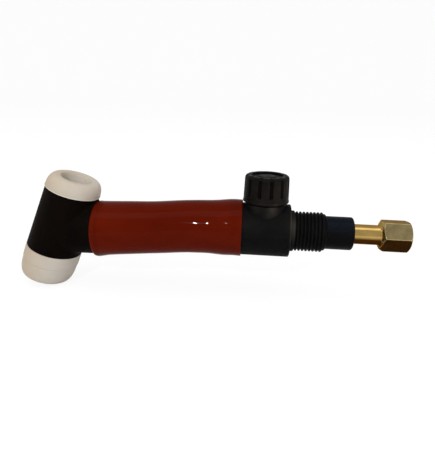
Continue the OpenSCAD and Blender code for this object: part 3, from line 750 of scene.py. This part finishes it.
def sleeve_row(x, r, outside):
    row = []
    for t in angles(SLEEVE_COLUMNS):
        ry = r + (sleeve_sag(x, t) if outside else 0.0)
        row.append((x, ry * math.cos(t), neck_centre(x) + ry * math.sin(t)))
    return row


def crease_shade_and_grip_tone(p):
    """Painted shade in the crease at the head, where the sleeve is darker; it is also darker in a
    band where it grips the housing.
    """
    return 1.0 - 0.6 * bell(p[0], -95.5, 0.7) - 0.3 * bell(p[0], -33.5, 2.5)


def make_sleeve():
    skin = smooth_radii(divided(SLEEVE_OUT, 0.8, along=0, closed=False))
    lining = divided(SLEEVE_IN, 2.0, along=0, closed=False)
    shell = Shell()
    shell.rings([sleeve_row(x, r, True) for x, r in skin]
                + [sleeve_row(x, r, False) for x, r in lining], closed_loop=True)
    piece = build("sleeve_skin", shell, RED_SILICONE, "body", ["neck_sleeve"],
                  sharp=60)
    store_wear_and_light(piece, crease_shade_and_grip_tone)


# ---------------------------------------------------------------- valve housing and handle thread
def thread_path():
    """The handle thread's rings, as (r, a, fillet) points."""
    root = THREAD_R - THREAD_DEPTH
    points = []
    for k in range(CRESTS):
        x = -THREAD_HALF + k * PITCH
        if k:
            points.append((root, x - THREAD_GAP * 0.64, 0.12))
        points += [(root, x - THREAD_GAP * 0.36, 0.12), (THREAD_R, x, 0.14),
                   (THREAD_R, x + CREST_W, 0.14)]
    return points


def housing_path():
    """The outline of the housing from its bore's front end round to the bore again."""
    barrel = [(HOUSING_BORE, HOUSING_X0, 0.0), (HOUSING_R, HOUSING_X0, 0.3),
              (HOUSING_R, SHOULDER_X, 0.45), (COLLAR_R, SHOULDER_X, 0.15),
              (COLLAR_R, -THREAD_HALF - THREAD_GAP, 0.12)]
    nose = [(NOSE_R, THREAD_HALF + 0.12, 0.1), (NOSE_R, NOSE_X - 0.5, 0.15),
            (NOSE_R - 0.55, NOSE_X, 0.12), (7.55, NOSE_X, 0.0), (7.55, NOSE_X - 2, 0.0)]
    bore = [(REAR_BORE, NOSE_X - 2, 0.0), (REAR_BORE, BLOCK_X, 0.0), (HOUSING_BORE, BLOCK_X, 0.0)]
    return rounded(barrel + thread_path() + nose + bore)


def boss_root(phi):
    return BOSS_R + BOSS_SPREAD * math.sin(phi) ** 2


def painted_housing_highlights(p):
    """Painted highlights on the housing: the boss's wall and the edge at its foot, the shoulder and
    the collar, all more on the side towards the connector and on the upper side; the rest stays near
    black."""
    out = math.hypot(p[1], p[2])
    up = bell(math.degrees(math.atan2(p[2], abs(p[1]))), 28, 36)
    if p[0] > SHOULDER_X - 0.5:
        on_collar = out > 8.6 and p[0] < -THREAD_HALF - 0.3
        return 0.75 * up if on_collar else 0.07 * (out > 8.7)
    if p[2] > 0 and HOUSING_R + 0.01 < out:
        turn = math.degrees(abs(math.atan2(p[1], p[0] - VALVE_X)))
        edge = 0.34 * bell(out, HOUSING_R + 0.15, 0.25) * bell(turn, 66, 32)
        # Painted highlight: a lighter patch on the boss towards the connector, and a fainter one
        # towards the head.
        painted_highlight = bell(turn, 70, 15) + 0.30 * bell(turn, 118, 14)
        return max(edge, 0.07 + 0.9 * painted_highlight * min(1.0, (out - HOUSING_R) / 0.9))
    return 0.015 + 0.05 * up * (p[2] > 0) + 0.25 * bell(p[0], SHOULDER_X, 0.5) * up


def make_housing():
    path = housing_path()
    barrel = [k for k, p in enumerate(path) if abs(p[0] - HOUSING_R) < 1e-6]
    reach = 10.7
    stations = [(HOUSING_R, float(x)) for x in np.linspace(VALVE_X - reach, VALVE_X + reach, 35)]
    path = path[:barrel[0] + 1] + [(HOUSING_R, -34.5)] + stations + path[barrel[-1]:]
    boss = [(BOSS_R, 12.45), (BOSS_R - 0.03, 12.58), (BOSS_R - 0.12, 12.70),
            (BOSS_R - 0.3, BOSS_TOP), (BOSS_BORE, BOSS_TOP), (BOSS_BORE, 7.0), (3.4, 7.0),
            (3.4, -3.0)]
    shell = branched(BODY, path, first=barrel[0] + 2, count=len(stations),
                     columns=HOUSING_COLUMNS, half_width=30, branch=VALVE, root=boss_root,
                     fillet=lambda phi: BOSS_FILLET, tail=boss)
    piece = build("valve_shell", shell, BLACK_HOUSING, "body", ["valve_housing"])
    store_wear_and_light(piece, painted_housing_highlights)


# ---------------------------------------------------------------- knob
# columns of one flute and the rib beside it, in degrees from the flute's middle
FLUTE_COLUMNS = [-15, -12.5, -10, -8, -6.8, -5.8, -5.0, -4.4, -3.8, -3.1, -2.3, -1.5, -0.7,
                 0, 0.7, 1.5, 2.3, 3.1, 3.8, 4.4, 5.0, 5.8, 6.8, 8, 10, 12.5]
KNOB_ANGLES = [FLUTE_FIRST + math.radians(360 // FLUTES * k + off)
               for k in range(FLUTES) for off in FLUTE_COLUMNS]
KNOB_SUNK = [max(0.0, 1 - (off / FLUTE_HALF) ** 2) ** 0.8
             for _ in range(FLUTES) for off in FLUTE_COLUMNS]


def knob_outside():
    """The knob's outline from its flared foot up to the rim of its top."""
    foot = [(9.7, KNOB_FOOT), (9.95, KNOB_FOOT + 0.06), (10.25, KNOB_FOOT + 0.3),
            (10.32, KNOB_FOOT + 0.55), (10.26, SKIRT_TOP), (KNOB_R + 0.03, SKIRT_TOP + 0.35)]
    side = [(KNOB_R - (z - SKIRT_TOP) * KNOB_DRAFT, float(z))
            for z in np.linspace(SKIRT_TOP + 0.5, KNOB_TOP - 1.5, 30)]
    return foot + side + arc((RIM_R, KNOB_TOP - KNOB_EDGE), KNOB_EDGE, KNOB_EDGE, 4, 90, 9)


def knob_inside():
    """The knob's outline from its recessed top down the button's bore and through its hollow."""
    return rounded([(RIM_R - 0.05, KNOB_TOP, 0.0), (7.05, KNOB_TOP, 0.3), (6.95, RECESS_Z, 0.25),
                    (BUTTON_R, RECESS_Z, 0.08), (BUTTON_R, CAVITY_TOP, 0.0),
                    (3.65, CAVITY_TOP, 0.0), (3.65, KNOB_FOOT, 0.15), (5.2, KNOB_FOOT, 0.15),
                    (5.2, CAVITY_TOP, 0.3), (8.3, CAVITY_TOP, 0.3), (8.3, KNOB_FOOT, 0.15),
                    (9.15, KNOB_FOOT, 0.0)], closed=False)


def fluted_row(r, z):
    """One ring of the knob's outside. The flutes start above the skirt."""
    depth = FLUTE_DEPTH * max(0.0, min(1.0, (z - (SKIRT_TOP + FLUTE_RISE)) / 0.6)) ** 0.6
    return [VALVE.at(r - depth * sunk, t, z) for t, sunk in zip(KNOB_ANGLES, KNOB_SUNK)]


def painted_knob_light_and_shade(p):
    """Painted light and shade of the knob: lighter on its ribs and towards the connector, with
    painted shade in its grooves, a painted highlight on the top's outer rim and a spot on the skirt.
    """
    out = math.hypot(p[0] - VALVE_X, p[1])
    if out < 8.6:
        return 0.25 * (p[2] > KNOB_TOP - 0.2)
    if p[2] > KNOB_TOP - 1.1:
        return 0.30 if out > RIM_R + 0.1 else 0.10
    side = 0.30 + 0.20 * (p[0] - VALVE_X) / KNOB_R
    if p[2] < SKIRT_TOP + 0.5:
        turn = math.degrees(abs(math.atan2(p[1], p[0] - VALVE_X)))
        return side + 0.6 * bell(turn, 68, 9)
    sunk = KNOB_R - (p[2] - SKIRT_TOP) * KNOB_DRAFT - out
    return max(0.0, 1.0 - sunk / 0.35) * side


def make_knob():
    rows = [fluted_row(r, z) for r, z in knob_outside()]
    rows += [[VALVE.at(r, t, z) for t in KNOB_ANGLES] for r, z in knob_inside()]
    shell = Shell()
    shell.rings(rows, closed_loop=True)
    piece = build("knob_shell", shell, BLACK_KNOB, "knob", ["valve_knob"],
                  sharp=50)
    store_wear_and_light(piece, painted_knob_light_and_shade)


def make_button():
    """The plug in the middle of the knob's top."""
    low, high, radius = 23.2, 24.9, 3.9
    path = rounded([(0.0, low, 0), (radius, low, 0.1), (radius, high, 0.3), (0.0, high, 0)],
                   closed=False)
    shell = Shell()
    ids = shell.rings([[VALVE.at(r, t, a) for t in angles(TUBE_COLUMNS)]
                       for r, a in path if r > 0])
    shell.fan(ids[0], VALVE.at(0, 0, low))
    shell.fan(ids[-1], VALVE.at(0, 0, high))
    build("knob_button", shell, BLACK_KNOB, "knob", ["knob_cap"], sharp=50)


# ---------------------------------------------------------------- rear end
def painted_highlight(p):
    """Painted sheen of the rear sleeve: a lighter, bluer band along its upper side."""
    return bell(p[2] / REAR_SLEEVE_R, 0.80, 0.42)


def make_rear_jacket():
    """The black sleeve behind the thread."""
    path = rounded([(REAR_BORE, NOSE_X - 2, 0), (REAR_SLEEVE_R, NOSE_X - 2, 0),
                    (REAR_SLEEVE_R, NOSE_X + 3, 0), (REAR_SLEEVE_R, REAR_SLEEVE_X, 0.8),
                    (REAR_BORE, REAR_SLEEVE_X, 0.2)], seg=6)
    shell = lathe(BODY, divided(path, 2), JACKET_COLUMNS)
    piece = build("rear_jacket", shell, BLACK_SLEEVE, "body", ["rear_sleeve"])
    store_wear_and_light(piece, painted_highlight)


def make_rear_liner():
    """The filling between the rear sleeve and the brass tube."""
    end, inner, outer = REAR_SLEEVE_X - 0.6, TUBE_R + 0.05, REAR_BORE - 0.05
    path = rounded([(inner, -8.6, 0), (outer, BLOCK_X, 0), (outer, end, 0.2), (inner, end, 0.15)])
    shell = lathe(BODY, path, TUBE_COLUMNS)
    build("rear_liner", shell, BLACK_HOUSING, "body", ["rear_bush"])


def make_pipe():
    path = rounded([(TUBE_BORE, TUBE_X0, 0), (TUBE_R, TUBE_X0, 0.1), (TUBE_R, TUBE_X1, 0.1),
                    (TUBE_BORE, TUBE_X1, 0)])
    shell = lathe(BODY, divided(path, 3), TUBE_COLUMNS)
    build("brass_pipe", shell, BRASS, "body", ["rear_tube"])


# ---------------------------------------------------------------- hexagonal connector
# columns of one flat, in degrees from a corner, close together at the corners
HEX_COLUMNS = [0, 0.6, 1.3, 2.2, 3.4, 5, 7.5, 11, 15, 20, 25, 30, 35, 40, 45, 49, 52.5, 55,
               56.6, 57.8, 58.7, 59.4]
HEX_ANGLES = [math.radians(60 * k + s) for k in range(6) for s in HEX_COLUMNS]
RIDGE_ROUND = 0.035
BEVEL_ROUND = 0.045


def soft_min(values, k):
    """The least of the values, rounded off over about k where two are alike."""
    values = np.array(values)
    low = values.min()
    return low - k * math.log(np.exp(-(values - low) / k).sum())


def hex_radius(t):
    """Radius of the hexagon with slightly rounded corners, at the angle t from a corner."""
    towards = [math.cos(t - math.radians(30 + 60 * k)) for k in range(6)]
    return soft_min([HEX_AF / 2 / c for c in towards if c > 0.2], RIDGE_ROUND)


def hex_point(x, r, t):
    return (HEX_X + x, r * math.sin(t + HEX_TURN), -r * math.cos(t + HEX_TURN))


def hex_outline(x):
    """Radius of the turned shape that trims the hexagon's corners, x behind its front face."""
    d = max(0.0, x - (HEX_LEN - HEX_CROWN))
    crown = HEX_CORNER + HEX_CLEAR - HEX_CROWN + math.sqrt(max(0.0, HEX_CROWN ** 2 - d * d))
    return min(crown, HEX_CORNER - HEX_CHAMFER + HEX_SLOPE * x)


def hex_stations():
    """Places of the outer rings: close together on the front bevel and on the crown."""
    crown_turns = np.radians(np.linspace(3, 90, 30))
    return np.concatenate([[0.0, 0.04, 0.1], np.linspace(0.16, 1.3, 20),
                           np.linspace(1.6, HEX_LEN - HEX_CROWN - 0.2, 14),
                           HEX_LEN - HEX_CROWN * (1 - np.sin(crown_turns))])


def cable_bore():
    """The connector's inside as (r, x) points: the cable's thread, then the tube's seat."""
    inner = [(5.0, HEX_LEN), (4.62, HEX_LEN), (CABLE_R, HEX_LEN - 0.2)]
    x = HEX_LEN - 0.3
    while x > 6.9:
        inner += [(CABLE_R, x), (CABLE_R, x - 0.2), (CABLE_ROOT_R, x - 0.5),
                  (CABLE_ROOT_R, x - 0.6), (CABLE_R, x - 0.9)]
        x -= CABLE_PITCH
    return inner + [(CABLE_R, 5.9), (TUBE_BORE, 5.9), (TUBE_BORE, 4.0), (4.52, 4.0), (4.52, 0.0),
                    (5.3, 0.0)]


def painted_hex_highlights(p):
    """Painted highlights on the connector: its six ridges, the rims of its flats and its front bevel
    are lighter than its flats.
    """
    x, r = p[0] - HEX_X, math.hypot(p[1], p[2])
    t = math.atan2(p[1], -p[2]) - HEX_TURN
    flat, bound = hex_radius(t), hex_outline(x)
    if r < 0.9 * min(flat, bound):
        return 0.0
    from_ridge = abs((math.degrees(t) + 30) % 60 - 30)
    ridge = bell(from_ridge, 0, 1.4) if flat < bound else 0.0
    front = 0.4 if bound < flat and x < 2.0 else 0.0
    return max(0.9 * ridge, 0.7 * bell(flat - bound, 0, 0.14), front)


def make_connector():
    rows = []
    flats = [hex_radius(t) for t in HEX_ANGLES]
    for x in hex_stations():
        bound = hex_outline(x)
        rows.append([hex_point(x, soft_min([flat, bound], BEVEL_ROUND), t)
                     for t, flat in zip(HEX_ANGLES, flats)])
    rows += [[hex_point(x, r, t) for t in HEX_ANGLES] for r, x in cable_bore()]
    shell = Shell()
    shell.rings(rows, closed_loop=True)
    piece = build("hex_fitting", shell, BRASS_HEX, "body", ["cable_connector"], sharp=60)
    store_wear_and_light(piece, painted_hex_highlights)


# ---------------------------------------------------------------- floor and backdrop
FLOOR_Z = cad_box[0][2]
FLOOR_R = 2.0
CURVE_R = 0.8
WALL_TOP = 1.3
PAPER_WHITE = 0.80
PAPER_GLOW = 0.20
SEEN_WHITE = 0.16
SEEN_GLOW = 0.88


def white_diffuse(tree, white):
    node = node_of(tree, "ShaderNodeBsdfDiffuse")
    node.inputs["Color"].default_value = (white, white, white, 1)
    return node.outputs[0]


def part_glow(tree, white, strength):
    """A diffuse share that keeps the shadow, and a glow that fills it up to white."""
    both = node_of(tree, "ShaderNodeAddShader")
    glow = node_of(tree, "ShaderNodeEmission")
    glow.inputs["Strength"].default_value = strength
    tree.links.new(white_diffuse(tree, white), both.inputs[0])
    tree.links.new(glow.outputs[0], both.inputs[1])
    return both.outputs[0]


def choose(tree, factor, plain, other):
    pick = node_of(tree, "ShaderNodeMixShader")
    tree.links.new(factor, pick.inputs["Fac"])
    tree.links.new(plain, pick.inputs[1])
    tree.links.new(other, pick.inputs[2])
    return pick.outputs[0]


def paper():
    """White paper: plain diffuse to the light, white with a faint shadow to the camera, and
    white with a full shadow in reflections."""
    mat = bpy.data.materials.new("paper")
    mat.use_nodes = True
    tree = mat.node_tree
    tree.nodes.clear()
    out = node_of(tree, "ShaderNodeOutputMaterial")
    path = node_of(tree, "ShaderNodeLightPath")
    bent = node_of(tree, "ShaderNodeMath", operation="MAXIMUM")
    tree.links.new(path.outputs["Is Glossy Ray"], bent.inputs[0])
    tree.links.new(path.outputs["Is Transmission Ray"], bent.inputs[1])
    reflected = choose(tree, bent.outputs[0], white_diffuse(tree, PAPER_WHITE),
                       part_glow(tree, PAPER_WHITE, PAPER_GLOW))
    seen = choose(tree, path.outputs["Is Camera Ray"], reflected,
                  part_glow(tree, SEEN_WHITE, SEEN_GLOW))
    tree.links.new(seen, out.inputs["Surface"])
    return mat


def make_sweep():
    """A round floor that curves up into a low backdrop on every side."""
    profile = [(r, 0.0) for r in (0.002, 0.25, 0.6, 1.0, 1.5, FLOOR_R)]
    profile += [(FLOOR_R + CURVE_R * math.sin(t), CURVE_R - CURVE_R * math.cos(t))
                for t in np.radians(np.linspace(9, 90, 10))]
    profile.append((FLOOR_R + CURVE_R, WALL_TOP))
    shell = Shell()
    rows = shell.rings([[np.array((r * math.cos(t), r * math.sin(t), z + FLOOR_Z)) / MM
                         for t in angles(SWEEP_COLUMNS)] for r, z in profile])
    shell.faces.append(tuple(reversed(rows[0])))
    mesh = bpy.data.meshes.new("sweep")
    mesh.from_pydata([tuple(v * MM) for v in shell.verts], [], shell.faces)
    mesh.shade_smooth()
    mesh.materials.append(paper())
    obj = bpy.data.objects.new("sweep", mesh)
    bpy.context.scene.collection.objects.link(obj)


# ---------------------------------------------------------------- light
MIDDLE = (-0.04, 0.0, 0.0)
SPARK_SPOT = (-0.051, 0.0, 0.012)
WORLD_LEVEL = 0.615


def lamp(name, position, target, size, power, colour=(1, 1, 1)):
    """An area lamp that looks at the target."""
    light = bpy.data.lights.new(name, "AREA")
    light.shape = "RECTANGLE"
    light.size, light.size_y = size
    light.energy = power
    light.color = colour
    obj = bpy.data.objects.new(name, light)
    bpy.context.scene.collection.objects.link(obj)
    back = unit(np.array(position, float) - np.array(target, float))
    side = unit(np.cross((0, 0, 1), back))
    up = np.cross(back, side)
    rot = Matrix([[side[i], up[i], back[i]] for i in range(3)]).to_4x4()
    obj.matrix_world = Matrix.Translation(position) @ rot


def make_lights():
    """A soft lamp overhead, a small one for the sleeve's highlight, and one at the side."""
    lamp("overhead", (0.05, -0.20, 1.15), MIDDLE, (1.9, 0.5), 3.9, (1.0, 0.98, 0.96))
    lamp("spark", (-0.229, -0.84, 0.557), SPARK_SPOT, (0.011, 0.05), 3.1)
    lamp("side", (0.62, -0.62, 0.22), MIDDLE, (0.35, 0.5), 1.3, (1.0, 0.97, 0.94))


def make_world():
    world = bpy.data.worlds.new("studio")
    bpy.context.scene.world = world
    world.use_nodes = True
    background = next(n for n in world.node_tree.nodes if n.type == "BACKGROUND")
    background.inputs["Color"].default_value = (WORLD_LEVEL, WORLD_LEVEL, WORLD_LEVEL, 1)
    background.inputs["Strength"].default_value = 1.0


# ---------------------------------------------------------------- camera
YAW, PITCH_DOWN, ROLL = -0.071, 0.310, 0.029
CAMERA_AT = (-0.028045, -0.188716, 0.061548)
FOCAL_PX = 430.0
IMAGE_LONG_SIDE = 450.0
SENSOR = 36.0


def make_camera():
    forward = np.array([math.sin(YAW) * math.cos(PITCH_DOWN),
                        math.cos(YAW) * math.cos(PITCH_DOWN), -math.sin(PITCH_DOWN)])
    right = np.array([math.cos(YAW), -math.sin(YAW), 0.0])
    above = np.cross(right, forward)
    cam_x = math.cos(ROLL) * right + math.sin(ROLL) * above
    cam_y = -math.sin(ROLL) * right + math.cos(ROLL) * above
    data = bpy.data.cameras.new("camera")
    data.sensor_width = SENSOR
    data.lens = FOCAL_PX * SENSOR / IMAGE_LONG_SIDE
    data.clip_start = 0.01
    camera = bpy.data.objects.new("camera", data)
    bpy.context.scene.collection.objects.link(camera)
    camera.matrix_world = Matrix([[cam_x[i], cam_y[i], -forward[i], CAMERA_AT[i]]
                                  for i in range(3)] + [[0, 0, 0, 1]])
    bpy.context.scene.camera = camera


# ---------------------------------------------------------------- the scene
finish_cad_nodes()
make_head_moulding()
make_upper_ring()
make_lower_ring()
make_thread_ridge("back_cap_thread", 5.5, 6.0, CORE_TOP - 12.0, CORE_TOP - 0.3)
make_thread_ridge("collet_body_thread", 4.1, 4.6, CORE_FOOT + 0.3, CORE_FOOT + 10.5)
make_sleeve()
make_housing()
make_knob()
make_button()
make_rear_jacket()
make_rear_liner()
make_pipe()
make_connector()
make_sweep()
make_lights()
make_world()
make_camera()
bpy.context.scene.view_settings.view_transform = "Standard"

bpy.context.view_layer.update()
